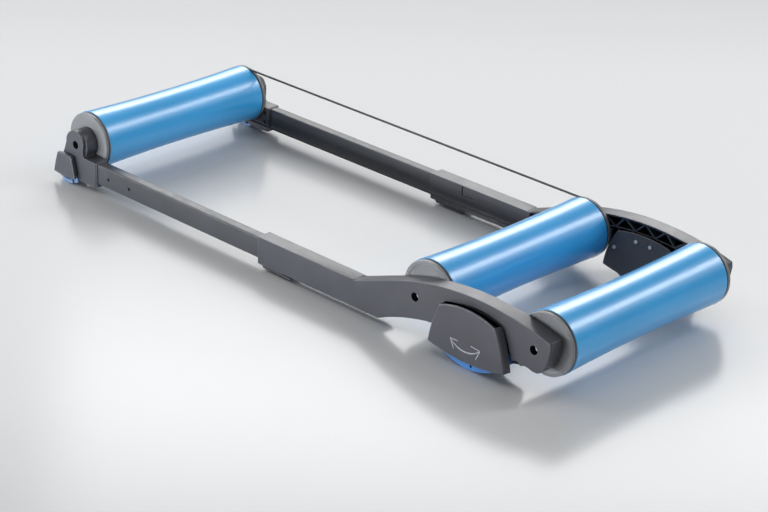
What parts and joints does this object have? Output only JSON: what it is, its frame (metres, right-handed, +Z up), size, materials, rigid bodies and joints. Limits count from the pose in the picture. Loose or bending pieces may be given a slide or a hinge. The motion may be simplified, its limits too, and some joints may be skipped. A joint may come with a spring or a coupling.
{
  "type": "bike rollers",
  "caption": "Folding bicycle training rollers: concave drums in a telescoping frame that swings on curved rocker feet.",
  "frame": {"origin": "on the floor under the middle of the object, half way between its front and rear ends and between its sides", "axes": "+X from the front roller towards the two rear rollers, +Y towards the belt side, +Z up"},
  "size_m": [1.25, 0.492, 0.133],
  "materials": {
    "arm_plastic": "satin",
    "cover_plastic": "satin",
    "bush_bronze": "satin",
    "pin_steel": "satin",
    "bright_steel": "polished",
    "black_steel": "polished",
    "black_plastic": "satin",
    "pad_rubber": "matt",
    "rocker_blue": "gloss",
    "roller_blue": "gloss",
    "cap_plastic": "satin",
    "bearing_steel": "satin",
    "rail_paint": "satin powder coat",
    "belt_rubber": "matt"
  },
  "bodies": {
    "rear_frame": {"arm_left": "arm_plastic", "arm_right": "arm_plastic", "rocker_bush_left": "bush_bronze", "rocker_bush_right": "bush_bronze", "rocker_pin_left": "pin_steel", "rocker_pin_right": "pin_steel", "foot_cover_left": "cover_plastic", "foot_cover_right": "cover_plastic", "foot_panel_left": "cover_plastic", "foot_panel_right": "cover_plastic", "foot_screws_left": "bright_steel", "foot_screws_right": "bright_steel", "rail_glide_left": "black_plastic", "rail_glide_right": "black_plastic", "lock_pin_left": "pin_steel", "lock_pin_right": "pin_steel", "lock_spring_left": "bright_steel", "lock_spring_right": "bright_steel", "middle_axle": "pin_steel", "rear_axle": "pin_steel", "rear_axle_bolts": "bright_steel", "rear_spacers": "bright_steel"},
    "front_frame": {"rail_left": "rail_paint", "rail_right": "rail_paint", "rail_plug_left": "black_plastic", "rail_plug_right": "black_plastic", "front_block_left": "arm_plastic", "front_block_right": "arm_plastic", "front_cover_left": "cover_plastic", "front_cover_right": "cover_plastic", "front_cover_screws": "bright_steel", "rail_bolts": "black_steel", "front_axle": "pin_steel", "front_axle_bolts": "bright_steel", "front_spacers": "bright_steel", "front_pin_left": "pin_steel", "front_pin_right": "pin_steel", "drive_belt": "belt_rubber"},
    "roller_middle": {"drum_middle": "roller_blue", "caps_middle": "cap_plastic", "bearings_middle": "bearing_steel"},
    "roller_rear": {"drum_rear": "roller_blue", "caps_rear": "cap_plastic", "bearings_rear": "bearing_steel"},
    "roller_front": {"drum_front": "roller_blue", "caps_front": "cap_plastic", "bearings_front": "bearing_steel"},
    "rear_rocker_left": {"rocker_left": "rocker_blue"},
    "rear_rocker_right": {"rocker_right": "rocker_blue"},
    "front_rocker_left": {"front_rocker_left": "rocker_blue"},
    "front_rocker_right": {"front_rocker_right": "rocker_blue"},
    "lock_left": {"lock_lever_left": "black_plastic", "lock_pad_left": "pad_rubber"},
    "lock_right": {"lock_lever_right": "black_plastic", "lock_pad_right": "pad_rubber"}
  },
  "joints": [
    {"name": "front_slide", "type": "slide", "parent": "rear_frame", "child": "front_frame", "axis": [1, 0, 0], "range_m": [0, 0.44], "deforming": ["drive_belt"]},
    {"name": "middle_spin", "type": "hinge", "parent": "rear_frame", "child": "roller_middle", "pos_m": [0.312, 0, 0.078], "axis": [0, 1, 0], "continuous": true},
    {"name": "rear_spin", "type": "hinge", "parent": "rear_frame", "child": "roller_rear", "pos_m": [0.57, 0, 0.078], "axis": [0, 1, 0], "continuous": true},
    {"name": "front_spin", "type": "hinge", "parent": "front_frame", "child": "roller_front", "pos_m": [-0.57, 0, 0.078], "axis": [0, 1, 0], "continuous": true},
    {"name": "rear_rocker_left_swing", "type": "hinge", "parent": "rear_frame", "child": "rear_rocker_left", "pos_m": [0.441, -0.22, 0.078], "axis": [0, 1, 0], "range_deg": [-15, 15]},
    {"name": "front_rocker_left_swing", "type": "hinge", "parent": "front_frame", "child": "front_rocker_left", "pos_m": [-0.588, -0.217, 0.034], "axis": [0, 1, 0], "range_deg": [-20, 20]},
    {"name": "lock_left_squeeze", "type": "hinge", "parent": "rear_frame", "child": "lock_left", "pos_m": [-0.0246, -0.2165, 0.0127], "axis": [0, -1, 0], "range_deg": [0, 4], "stiffness_Nm_per_rad": 0.6, "springref_deg": -8.59, "deforming": ["lock_spring_left"]},
    {"name": "rear_rocker_right_swing", "type": "hinge", "parent": "rear_frame", "child": "rear_rocker_right", "pos_m": [0.441, 0.22, 0.078], "axis": [0, 1, 0], "range_deg": [-15, 15]},
    {"name": "front_rocker_right_swing", "type": "hinge", "parent": "front_frame", "child": "front_rocker_right", "pos_m": [-0.588, 0.217, 0.034], "axis": [0, 1, 0], "range_deg": [-20, 20]},
    {"name": "lock_right_squeeze", "type": "hinge", "parent": "rear_frame", "child": "lock_right", "pos_m": [-0.0246, 0.2165, 0.0127], "axis": [0, -1, 0], "range_deg": [0, 4], "stiffness_Nm_per_rad": 0.6, "springref_deg": -8.59, "deforming": ["lock_spring_right"]}
  ],
  "couplings": [
    {"joint": "front_spin", "follows": "middle_spin", "ratio": 1}
  ]
}
